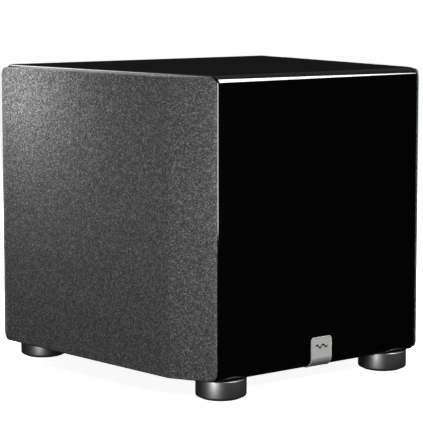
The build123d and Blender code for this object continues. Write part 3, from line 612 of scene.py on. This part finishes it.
cone_t = 1.6 * MM
cone_neck = 6 * MM
cone_lip = 4 * MM
cone_back = cone_t * 1.3  # the slanted wall's thickness along the axis
cone_points = 60
rib_lift = 0.7 * MM
rib_count = 3
rib_narrow = 8
rib_fade = 8
sheet_t = 1.4 * MM
roll_land = 4 * MM
for name, place in places.items():
    inner, outer, low, high = along_axis(f"{name}_spider", place)
    wave_in = inner + spider_rim
    wave_out = outer - wave_room
    level = (low + high - spider_t) / 2
    span = wave_out - wave_in
    swing = 2 * math.pi * wave_count
    steps = [i / wave_points for i in range(wave_points + 1)]
    under = [(wave_in + span * t, level + wave_lift * math.sin(swing * t)) for t in steps]
    section = [(inner, level)] + under + [(outer, level), (outer, level + spider_t)]
    section += [(r, z + spider_t) for r, z in reversed(under)] + [(inner, level + spider_t)]
    spider = turned(f"{name}_spider_cloth", section, place, steps=96, angle=60)
    flex(spider, name, place, wave_out, wave_in)
    spider.data.materials.append(cotton)
    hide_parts(f"{name}_spider")

    dress(copper, f"{name}_voice_coil")

    throat, rim, low, high = along_axis(f"{name}_cone", place)
    foot_z = low + cone_neck
    run = rim - cone_lip - throat - cone_t
    slope = (high - foot_z) / run
    face = []
    for t in [i / cone_points for i in range(cone_points + 1)]:
        rib = max(0, math.cos(2 * math.pi * rib_count * (t - 0.5 / rib_count))) ** rib_narrow
        fade = min(1, rib_fade * (1 - t), rib_fade * t)
        face.append((throat + cone_t + run * t, foot_z + slope * run * t + rib_lift * rib * fade))
    back = [(r, z - cone_back) for r, z in reversed(face)]
    section = [(throat, foot_z)] + face + [(rim, high), (rim, high - cone_t)] + back[:-1]
    section += [(throat + cone_t, foot_z - cone_back), (throat + cone_t, low), (throat, low)]
    cone = turned(f"{name}_cone_pulp", section, place, steps=128)
    finish(cone, f"{name}_cone_assembly", "cone_pulp", pulp, f"{name}_cone")

    _, cap_r, low, high = along_axis(f"{name}_dust_cap", place)
    ball = (cap_r**2 + (high - low) ** 2) / (2 * (high - low))
    sweep = math.degrees(math.asin(cap_r / ball))
    cap_section = arc(0, high - ball, ball, 90, 90 - sweep, 16)
    cap_section += arc(0, high - ball, ball - cone_t / 2, 90 - sweep, 90, 16)
    cap = turned(f"{name}_cap", cap_section, place, steps=96)
    finish(cap, f"{name}_cone_assembly", "cone_pulp", pulp, f"{name}_dust_cap")

    land, outer, low, high = along_axis(f"{name}_surround", place)
    roll_r = high - sheet_t / 2
    middle = outer - roll_land - roll_r
    foot_angle = math.degrees(math.asin(sheet_t / (roll_r + sheet_t / 2)))
    section = [(land, 0), (middle - roll_r + sheet_t / 2, 0)]
    section += arc(middle, 0, roll_r - sheet_t / 2, 180, 0, 24)[1:] + [(outer, 0), (outer, sheet_t)]
    section += arc(middle, 0, roll_r + sheet_t / 2, foot_angle, 180 - foot_angle, 24) + [(land, sheet_t)]
    surround = turned(f"{name}_rubber_roll", section, place, steps=128, angle=60)
    flex(surround, name, place, middle + roll_r, middle - roll_r)
    surround.data.materials.append(butyl)
    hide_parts(f"{name}_surround")

# Black oxide on steel: thin, slightly blue, a little brighter on the edges that a key has worn.
oxide, spot = blank("steel_black_oxide")
oil = add(oxide, "TexNoise", Vector=spot, Scale=1 / (1.5 * MM), Detail=3.0)
film = add(oxide, "MapRange", Value=oil.outputs["Fac"], To_Min=0.28, To_Max=0.45)
add(oxide, "BsdfPrincipled", Base_Color=shade("#2c2d31"), Metallic=0.9, Roughness=film.outputs[0])
screws = refined("woofer_screws", "driver_screws", 0.15 * MM)
finish(screws, "root", "black_screws", oxide, "woofer_screws")

# ---------- The grilles ----------
# A tray of moulded ABS with a round window over the driver, pushed on with four pins into rubber cups. Its
# outside has a broad middle flat, a long bevel at the front and a short one at the rear.
abs_black, spot = blank("abs_moulded_black")
spark = add(abs_black, "TexNoise", Vector=spot, Scale=1 / (0.7 * MM), Detail=3.0)
eroded = add(abs_black, "Bump", Strength=0.3, Distance=0.08 * MM, Height=spark.outputs["Fac"])
add(abs_black, "BsdfPrincipled", Base_Color=shade("#151516"), Roughness=0.5, Normal=eroded.outputs[0])
for name in sides:
    tray = refined(f"{name}_grille_frame", f"{name}_tray")
    finish(tray, f"{name}_grille", "grille_plastic", abs_black, f"{name}_grille_frame")
    pins = refined(f"{name}_grille_pins", f"{name}_pins", 0.2 * MM)
    finish(pins, f"{name}_grille", "grille_plastic", abs_black, f"{name}_grille_pins")
cups = refined("grille_cups", "pin_cups", 0.2 * MM)
finish(cups, "root", "cup_rubber", rubber, "grille_cups")

# The cloth is a charcoal knit, pulled over the tray and glued behind its edge.
front_facet = 54 * MM
rear_facet = 10 * MM
rear_drop = 2.5 * MM
edge_out = 3.5 * MM
bulge = 26.5 * MM
stand = 0.8 * MM
cloth_t = 1.0 * MM
corner = 11 * MM
ridge = 2.2 * MM


def off_wall(side, y, out):
    """A point that stands off the side wall, at mid height."""
    return Vector((side * (half_width(y) + out / math.cos(flare)), y, mid_z))


def slice_off(obj, a, b, side):
    """Cuts away what is outside the upright plane through two points, and closes the cut."""
    edit(obj, "VERT")
    bpy.ops.mesh.select_all(action="SELECT")
    along = (b - a).normalized()
    out = Vector((-along.y, along.x, 0)) * -side
    bpy.ops.mesh.bisect(plane_co=a, plane_no=-out, use_fill=True, clear_outer=False, clear_inner=True)
    done()


# Heathered polyester knit: every stitch takes its shade from an uneven mix of grey and black fibre. A stitch
# is about 0.8 mm; it is drawn at 1.1 mm so that it shows.
knit, spot = blank("acoustic_cloth_heather_knit")
stitch = add(knit, "TexVoronoi", Vector=spot, Scale=1 / (1.1 * MM))
tone = add(knit, "ValToRGB", Fac=stitch.outputs["Color"])
tone.color_ramp.elements[0].color = shade("#39393a")
tone.color_ramp.elements[1].color = shade("#cccccc")
tone.color_ramp.elements.new(0.6).color = shade("#6c6c6d")
dent = add(knit, "Bump", Strength=0.3, Distance=0.3 * MM, Height=stitch.outputs["Distance"])
add(
    knit,
    "BsdfPrincipled",
    Base_Color=tone.outputs[0],
    Roughness=0.85,
    Specular_IOR_Level=0.15,
    Sheen_Weight=0.15,
    Sheen_Roughness=0.5,
    Normal=dent.outputs[0],
)
for name, side in sides.items():
    low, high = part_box(f"{name}_grille_cloth")
    x_low, x_high = sorted((side * front_half / 2, low.x if side < 0 else high.x))
    cloth = cube(f"{name}_cloth", (x_low, low.y, low.z), (x_high, high.y, high.z))
    pick(cloth, "EDGE", runs_along(cloth, 0))
    bpy.ops.mesh.bevel(offset=corner, segments=10, affect="EDGES", clamp_overlap=False)
    done()
    outline = [(low.y, edge_out), (front_y + front_facet, bulge), (high.y - rear_facet, bulge)]
    outline = [off_wall(side, y, out) for y, out in outline + [(high.y, bulge - rear_drop)]]
    for a, b in zip(outline, outline[1:]):
        slice_off(cloth, a, b, side)
    slice_off(cloth, off_wall(side, high.y, stand), off_wall(side, low.y, stand), side)
    shown = [set(f.edge_keys) for f in cloth.data.polygons if f.normal.x * side > 0.5]
    pick(cloth, "EDGE", lambda e: any(e.key in s for s in shown))
    bpy.ops.mesh.bevel(offset=ridge, segments=4, affect="EDGES")
    done()
    pick(cloth, "FACE", lambda f: f.normal.x * side < -0.5)
    bpy.ops.mesh.delete(type="FACE")
    done()
    modify(cloth, "SOLIDIFY", thickness=cloth_t, offset=-1, use_even_offset=True)
    settle(cloth, 40)
    modify(cloth, "WEIGHTED_NORMAL", keep_sharp=True, weight=80)
    finish(cloth, f"{name}_grille", "grille_cloth", knit, f"{name}_grille_cloth")

# ---------- The amplifier: its plate and heatsink ----------
# A 3 mm aluminium plate, bead blasted and anodised black, carries everything electrical. The heatsink is a
# base with upright fins bonded into it, screwed to the plate over the output transistors.
plate_face = plate_high.y
black_anodised, spot = blank("aluminium_anodised_black")
grit = add(black_anodised, "TexNoise", Vector=spot, Scale=1 / (0.7 * MM), Detail=3.0)
blast = add(black_anodised, "Bump", Strength=0.25, Distance=0.06 * MM, Height=grit.outputs["Fac"])
add(
    black_anodised,
    "BsdfPrincipled",
    Base_Color=shade("#2c2d2f"),
    Metallic=0.5,
    Roughness=0.5,
    Normal=blast.outputs[0],
)
plate = refined("amp_plate", "amplifier_plate", 0.5 * MM)
finish(plate, "root", "amp_panel", black_anodised, "amp_plate")

# Black anodised extrusion: the same dye over the fine upright lines that the die leaves.
extruded, spot = blank("aluminium_extruded_black")
drawn = add(extruded, "Mapping", Vector=spot, Scale=(1 / (0.5 * MM), 1 / (0.5 * MM), 1 / (60 * MM)))
lines = add(extruded, "TexNoise", Vector=drawn.outputs[0], Scale=1.0, Detail=2.0)
scored = add(extruded, "Bump", Strength=0.25, Distance=0.05 * MM, Height=lines.outputs["Fac"])
add(
    extruded,
    "BsdfPrincipled",
    Base_Color=shade("#303135"),
    Metallic=0.6,
    Roughness=0.4,
    Normal=scored.outputs[0],
)
sink = refined("heatsink", "heatsink_fins", 0.3 * MM)
finish(sink, "root", "heatsink_black", extruded, "heatsink")
plate_screws = refined("amp_screws", "plate_screws", 0.12 * MM)
finish(plate_screws, "root", "black_screws", oxide, "amp_screws")

# ---------- The amplifier: knobs, switches and light ----------
# Two knobs of ABS with a soft coat, pushed on their spindles, with flutes for grip and a white pointer. Two
# slide switches and a small light stand in the same row.
soft, spot = blank("abs_soft_touch_coated")
touch = add(soft, "TexNoise", Vector=spot, Scale=1 / (2 * MM), Detail=4.0)
worn = add(soft, "MapRange", Value=touch.outputs["Fac"], To_Min=0.5, To_Max=0.68)
add(soft, "BsdfPrincipled", Base_Color=shade("#171718"), Roughness=worn.outputs[0])

# White screen ink: flat, with the slight mottle of a print on a blasted surface.
ink, spot = blank("screen_ink_white")
mesh_mark = add(ink, "TexNoise", Vector=spot, Scale=1 / (0.8 * MM), Detail=2.0)
chalk = add(ink, "ValToRGB", Fac=mesh_mark.outputs["Fac"])
chalk.color_ramp.elements[0].color = shade("#c9c9c6")
chalk.color_ramp.elements[1].color = shade("#e9e9e6")
add(ink, "BsdfPrincipled", Base_Color=chalk.outputs[0], Roughness=0.7)

knob_gap = 1.0 * MM
knob_skirt = 2.5 * MM
knob_edge = 1.2 * MM
knob_dish = 0.5 * MM
knob_break = 0.3 * MM
grip_in = 0.6 * MM  # the grip's step in from the skirt
flutes = 24
flute_w = 0.2  # either side of its middle, as a share of the flutes' pitch
flute_in = 0.945  # what the flutes leave of the grip's radius
spindle_r = 3 * MM
pointer = (1.2 * MM, 5.5 * MM, 0.35 * MM)
pointer_in = 2.2 * MM
pointer_proud = 0.12 * MM
knobs = {"volume_knob": 0, "crossover_knob": 0}
for name in knobs:
    low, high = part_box(name)
    knob_r = (high.x - low.x) / 2
    height = high.y - plate_face
    centre = Vector(((low.x + high.x) / 2, plate_face, (low.z + high.z) / 2))
    knobs[name] = centre
    place = Matrix.Translation(centre) @ Matrix.Rotation(math.radians(-90), 4, "X")
    grip = knob_r - grip_in
    section = [(0, low.y - plate_face), (spindle_r, low.y - plate_face), (spindle_r, knob_gap)]
    section += [(knob_r - knob_break, knob_gap), (knob_r, knob_gap + knob_break), (knob_r, knob_skirt)]
    section += [(grip, knob_skirt + grip_in), (grip, (knob_skirt + height) / 2)]
    section += arc(grip - knob_edge, height - knob_edge, knob_edge, 0, 90, 5)
    section += [(grip - 2 * knob_edge, height - knob_dish), (0, height - knob_dish)]
    knob = rotate_about(section, flutes * 4)

    def in_flute(v):
        turn = math.atan2(v.co.y, v.co.x) / (2 * math.pi) * flutes
        on_grip = math.hypot(v.co.x, v.co.y) > grip - knob_edge / 2 and v.co.z > knob_skirt + MM / 10
        return on_grip and abs(turn - round(turn)) < flute_w

    pick(knob, "VERT", in_flute)
    bpy.ops.transform.resize(value=(flute_in, flute_in, 1), center_override=(0, 0, 0))
    done()
    knob.name = name.replace("_knob", "_dial")
    knob.matrix_world = place
    settle(knob, 40)
    finish(knob, name, "knob_plastic", soft, name)
    w, reach, t = pointer
    top = centre + Vector((0, height - knob_dish, 0))
    bar_low = top + Vector((-w / 2, -t, grip - pointer_in - reach))
    line = cube(f"{name}_pointer", bar_low, bar_low + Vector((w, t + pointer_proud, reach)))
    modify(line, "BEVEL", width=0.2 * MM, segments=2)
    settle(line)
    finish(line, name, "knob_plastic", ink)

for name in ("phase_slider", "auto_slider"):
    slider = refined(name, name.replace("slider", "switch"), 0.25 * MM)
    finish(slider, name, "knob_plastic", soft, name)

# Tinted polycarbonate over a blue lamp: clear, deep, faintly lit from within.
lens, spot = blank("polycarbonate_blue")
depth = add(lens, "TexNoise", Vector=spot, Scale=1 / (1.5 * MM), Detail=1.0)
glow = add(lens, "ValToRGB", Fac=depth.outputs["Fac"])
glow.color_ramp.elements[0].color = shade("#1c4fb8")
glow.color_ramp.elements[1].color = shade("#3f86e8")
add(
    lens,
    "BsdfPrincipled",
    Base_Color=glow.outputs[0],
    Roughness=0.12,
    IOR=1.58,
    Emission_Color=shade("#2f7bff"),
    Emission_Strength=0.6,
)
lamp_lens = refined("status_light", "light_lens", 0.1 * MM)
finish(lamp_lens, "root", "light_lens", lens, "status_light")

# The dial marks, screened on the plate: eleven strokes round each knob, a short bar at each end of a switch
# with a longer one over it, and a frame of four strokes round the jacks.
ink_t = 0.06 * MM
stroke = 0.5 * MM
tick_in = 12.2 * MM
tick_len = 2.6 * MM
ticks = 11
knob_turn = 150  # degrees either way
switch_mid = 4 * MM  # from the slider's end to the middle of its travel
switch_end = 7 * MM
switch_bar = 4 * MM
label_up = 5 * MM
label_w = 12 * MM
margin = 6 * MM
strokes = []


def printed(x, z, w, h, turn=0.0):
    """One screened stroke on the plate."""
    bpy.ops.object.select_all(action="DESELECT")
    bpy.ops.mesh.primitive_plane_add(size=1, location=(x, plate_face + ink_t / 2, z))
    obj = bpy.context.active_object
    obj.scale = (w, h, 1)
    obj.rotation_euler = (math.radians(-90), -turn, 0)
    strokes.append(settle(obj))


for centre in knobs.values():
    for i in range(ticks):
        turn = math.radians(knob_turn * (2 * i / (ticks - 1) - 1))
        away = tick_in + tick_len / 2
        long = tick_len * (1.5 if i in (0, ticks // 2, ticks - 1) else 1)
        printed(centre.x + away * math.sin(turn), centre.z + away * math.cos(turn), stroke, long, turn)
for name in ("phase_slider", "auto_slider"):
    low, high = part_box(name)
    middle = low.x + switch_mid
    for shift in (-switch_end, switch_end):
        printed(middle + shift, (low.z + high.z) / 2, stroke, switch_bar)
    printed(middle, high.z + label_up, label_w, stroke)
jack_low, jack_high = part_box("line_jacks")
frame_low = jack_low - Vector((margin, 0, margin))
frame_high = jack_high + Vector((margin, 0, margin))
for x in (frame_low.x, frame_high.x):
    printed(x, (frame_low.z + frame_high.z) / 2, stroke, frame_high.z - frame_low.z + stroke)
for z in (frame_low.z, frame_high.z):
    printed((frame_low.x + frame_high.x) / 2, z, frame_high.x - frame_low.x - stroke, stroke)
bpy.ops.object.select_all(action="DESELECT")
for obj in strokes:
    obj.select_set(True)
bpy.context.view_layer.objects.active = strokes[0]
bpy.ops.object.join()
print_marks = bpy.context.active_object
print_marks.name = "panel_print"
modify(print_marks, "SOLIDIFY", thickness=ink_t, offset=0)
settle(print_marks)
finish(print_marks, "root", "amp_panel", ink)

# ---------- The amplifier: jacks and mains inlet ----------
# Two phono jacks, gold plated brass round a white and a red insulator. The inlet is one moulding that holds a
# three-blade mains socket, a drawer for the fuse and a rocker switch.
gold, spot = blank("brass_gold_plated")
turning = add(gold, "Mapping", Vector=spot, Scale=(1 / (3 * MM), 1 / (0.2 * MM), 1 / (3 * MM)))
ridge_line = add(gold, "TexNoise", Vector=turning.outputs[0], Scale=1.0, Detail=1.0)
plating = add(gold, "MapRange", Value=ridge_line.outputs["Fac"], To_Min=0.14, To_Max=0.26)
add(gold, "BsdfPrincipled", Base_Color=shade("#e2b45c"), Metallic=1.0, Roughness=plating.outputs[0])


def plastic(name, colour):
    """Moulded polypropylene: even colour, waxy gloss, a faint flow mark."""
    mat, spot = blank(name)
    flow = add(mat, "TexNoise", Vector=spot, Scale=1 / (3 * MM), Detail=2.0)
    wax = add(mat, "MapRange", Value=flow.outputs["Fac"], To_Min=0.32, To_Max=0.42)
    add(mat, "BsdfPrincipled", Base_Color=shade(colour), Roughness=wax.outputs[0])
    return mat


insulator_r = 3.4 * MM
insulators = {"polypropylene_red": "#a81d1d", "polypropylene_white": "#dedcd4"}
jacks = refined("line_jacks", "phono_jacks", 0.15 * MM)
jacks.data.materials.append(gold)
jack_z = (jack_low.z + jack_high.z) / 2
flange_r = (jack_high.z - jack_low.z) / 2
jack_xs = (jack_low.x + flange_r, jack_high.x - flange_r)
for i, (x, (name, colour)) in enumerate(zip(jack_xs, insulators.items())):
    jacks.data.materials.append(plastic(name, colour))
    for f in jacks.data.polygons:
        if math.hypot(f.center.x - x, f.center.z - jack_z) < insulator_r:
            f.material_index = i + 1
finish(jacks, "root", "jack_gold", gold, "line_jacks")

# Glass-filled polyester: dense black, a little glossier than ABS, with a fine even grain.
glass_filled, spot = blank("polyester_glass_filled")
fill = add(glass_filled, "TexNoise", Vector=spot, Scale=1 / (0.5 * MM), Detail=3.0)
pit = add(glass_filled, "Bump", Strength=0.15, Distance=0.05 * MM, Height=fill.outputs["Fac"])
add(glass_filled, "BsdfPrincipled", Base_Color=shade("#101011"), Roughness=0.38, Normal=pit.outputs[0])
inlet = refined("mains_inlet", "inlet_moulding", 0.35 * MM)
inlet.data.materials.append(glass_filled)
inlet.data.materials.append(nickel)
inlet_low, inlet_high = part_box("mains_inlet")
inlet_x = (inlet_low.x + inlet_high.x) / 2
inlet_z = (inlet_low.z + inlet_high.z) / 2
socket_x = inlet_x + 14.5 * MM
blades = [(socket_x + dx * MM, inlet_z + up * MM) for dx, up in ((-7, -2), (7, -2), (0, 2.5))]
blade_w = 1.3 * MM  # half a blade's width and height, with room to spare
blade_h = 2.3 * MM
blade_root = rear_y - 10 * MM
blade_top = plate_face - MM / 2
for f in inlet.data.polygons:
    near = any(abs(f.center.x - x) < blade_w and abs(f.center.z - z) < blade_h for x, z in blades)
    if near and blade_root < f.center.y < blade_top:
        f.material_index = 1
finish(inlet, "root", "knob_plastic", glass_filled, "mains_inlet")
drawer = refined("fuse_drawer", "fuse_carrier", 0.25 * MM)
finish(drawer, "fuse_drawer", "knob_plastic", glass_filled, "fuse_drawer")
rocker = refined("power_rocker", "power_switch", 0.3 * MM)
finish(rocker, "power_rocker", "knob_plastic", glass_filled, "power_rocker")

# ---------- The amplifier: what is behind the plate ----------
# Two boards of glass epoxy with their parts, a ring transformer wound on a steel core and taped, and two
# reservoir capacitors in shrink sleeves.
resist, spot = blank("glass_epoxy_green_resist")
tracks = add(
    resist,
    "TexBrick",
    Vector=spot,
    Scale=1 / (10 * MM),
    Mortar_Size=0.03,
    Color1=shade("#14542c"),
    Color2=shade("#1a6336"),
    Mortar=shade("#2f8a55"),
)
relief = add(resist, "Bump", Strength=0.3, Distance=0.1 * MM, Height=tracks.outputs["Fac"])
add(resist, "BsdfPrincipled", Base_Color=tracks.outputs[0], Roughness=0.35, Normal=relief.outputs[0])
tape, spot = blank("polyester_tape_yellow")
rings = {"wave_type": "RINGS", "rings_direction": "Y"}
lap = add(tape, "TexWave", rings, Vector=spot, Scale=0.06 / MM, Distortion=1.0)
# The tape's laps are drawn as bands of darker and lighter yellow; the lighter bands are a painted glint, a
# highlight put into the colour.
laps_and_painted_glint = add(tape, "ValToRGB", Fac=lap.outputs["Fac"])
laps_and_painted_glint.color_ramp.elements[0].color = shade("#a88a2c")
laps_and_painted_glint.color_ramp.elements[1].color = shade("#d8bf5a")
add(tape, "BsdfPrincipled", Base_Color=laps_and_painted_glint.outputs[0], Roughness=0.3)
sleeve, spot = blank("vinyl_shrink_sleeve_blue")
shrunk = add(sleeve, "TexNoise", Vector=spot, Scale=1 / (6 * MM), Detail=2.0)
crease = add(sleeve, "Bump", Strength=0.2, Distance=0.2 * MM, Height=shrunk.outputs["Fac"])
add(sleeve, "BsdfPrincipled", Base_Color=shade("#1a2440"), Roughness=0.28, Normal=crease.outputs[0])
dress(resist, "amp_board", "control_board")
dress(tape, "transformer")
dress(sleeve, "capacitors")

# ---------- Floor, lights and camera ----------
# A pale seamless floor in a light tent. The camera stands to the left of the front, a little above the top.
bpy.ops.object.select_all(action="DESELECT")
bpy.ops.mesh.primitive_circle_add(vertices=96, radius=12.0, fill_type="NGON", location=(0, 0, 0))
floor = bpy.context.active_object
floor.name = "studio_floor"
floor.visible_glossy = False
floor.visible_diffuse = False
paper, spot = blank("white_paper_matt")
tooth = add(paper, "TexNoise", Vector=spot, Scale=1 / (2 * MM), Detail=3.0)
pressed = add(paper, "Bump", Strength=0.05, Distance=0.1 * MM, Height=tooth.outputs["Fac"])
add(
    paper,
    "BsdfPrincipled",
    Base_Color=shade("#f6f6f6"),
    Roughness=0.9,
    Specular_IOR_Level=0.1,
    Emission_Color=(1, 1, 1, 1),
    Emission_Strength=0.93,
    Normal=pressed.outputs[0],
)
floor.data.materials.append(paper)

# The tent is white to the camera, nearly dark in what is polished, and a faint even fill on what is matt.
world = bpy.data.worlds.new("light_tent")
bpy.context.scene.world = world
world.use_nodes = True
world.node_tree.nodes.clear()
ray = add(world, "LightPath").outputs
dim = add(world, "Background", Color=(1, 1, 1, 1), Strength=0.06)
toward = add(world, "SeparateXYZ", Vector=add(world, "TexCoord").outputs["Generated"])
ceiling = add(
    world,
    "MapRange",
    Value=toward.outputs["Z"],
    From_Min=0.3,
    From_Max=0.9,
    To_Min=0.012,
    To_Max=0.3,
)
dark = add(world, "Background", Color=(1, 1, 1, 1), Strength=ceiling.outputs[0])
bright = add(world, "Background", Color=(1, 1, 1, 1), Strength=1.0)
lit = add(world, "MixShader", Fac=ray["Is Glossy Ray"], n_1=dim.outputs[0], n_2=dark.outputs[0])
seen = add(world, "MixShader", Fac=ray["Is Camera Ray"], n_1=lit.outputs[0], n_2=bright.outputs[0])
add(world, "OutputWorld", Surface=seen.outputs[0])
bpy.context.scene.view_settings.view_transform = "Standard"


def lamp(name, place, aim, size, power, only_seen=False, only_lights=False):
    """A softbox that faces a point. It may show only in what is polished, or only light what is matt."""
    data = bpy.data.lights.new(name, "AREA")
    data.shape = "RECTANGLE"
    data.size, data.size_y = size
    data.energy = power
    obj = bpy.data.objects.new(name, data)
    bpy.context.scene.collection.objects.link(obj)
    obj.location = place
    obj.rotation_euler = (Vector(aim) - Vector(place)).to_track_quat("-Z", "Y").to_euler()
    obj.visible_camera = False
    obj.visible_diffuse = not only_seen
    obj.visible_glossy = not only_lights


lamp("right_softbox", (0.9, -1.35, 1.82), (0, -0.2, 0.38), (1.2, 1.2), 130, only_seen=True)
lamp("left_strip", (-1.6, -0.8, 0.4), (-0.1, -0.1, 0.15), (0.5, 0.9), 42, only_seen=True)
lamp("rear_corner_spot", (-0.345, 0.13, 0.385), (-0.215, 0.03, 0.27), (0.05, 0.05), 0.29, only_lights=True)
lamp("front_left_softbox", (-0.24, -0.62, 0.3), (-0.18, -0.15, 0.2), (0.1, 0.1), 1.25, only_lights=True)
lamp("right_softbox_low", (1.3, -0.5, 0.6), (0.2, 0, 0.2), (0.6, 0.6), 6, only_lights=True)
lamp("rear_gloss_softbox", (-1.1, 1.6, 1.4), (0, 0.2, 0.2), (0.7, 0.7), 22, only_seen=True)
lamp("rear_softbox", (-0.1, 1.5, 1.0), (0, 0.2, 0.2), (1.2, 0.8), 45, only_lights=True)

eye = bpy.data.cameras.new("camera")
eye.lens = 146.2
eye.sensor_width = 36
eye.shift_x = -0.0386
eye.shift_y = -0.1474
eye.clip_start = 0.1
eye.clip_end = 50
camera = bpy.data.objects.new("camera", eye)
bpy.context.scene.collection.objects.link(camera)
camera.location = (-1.3323, -1.7771, 0.4959)
look_down = 5.7
look_right = 37.1
camera.rotation_euler = (math.radians(90 - look_down), 0, -math.radians(look_right))
bpy.context.scene.camera = camera
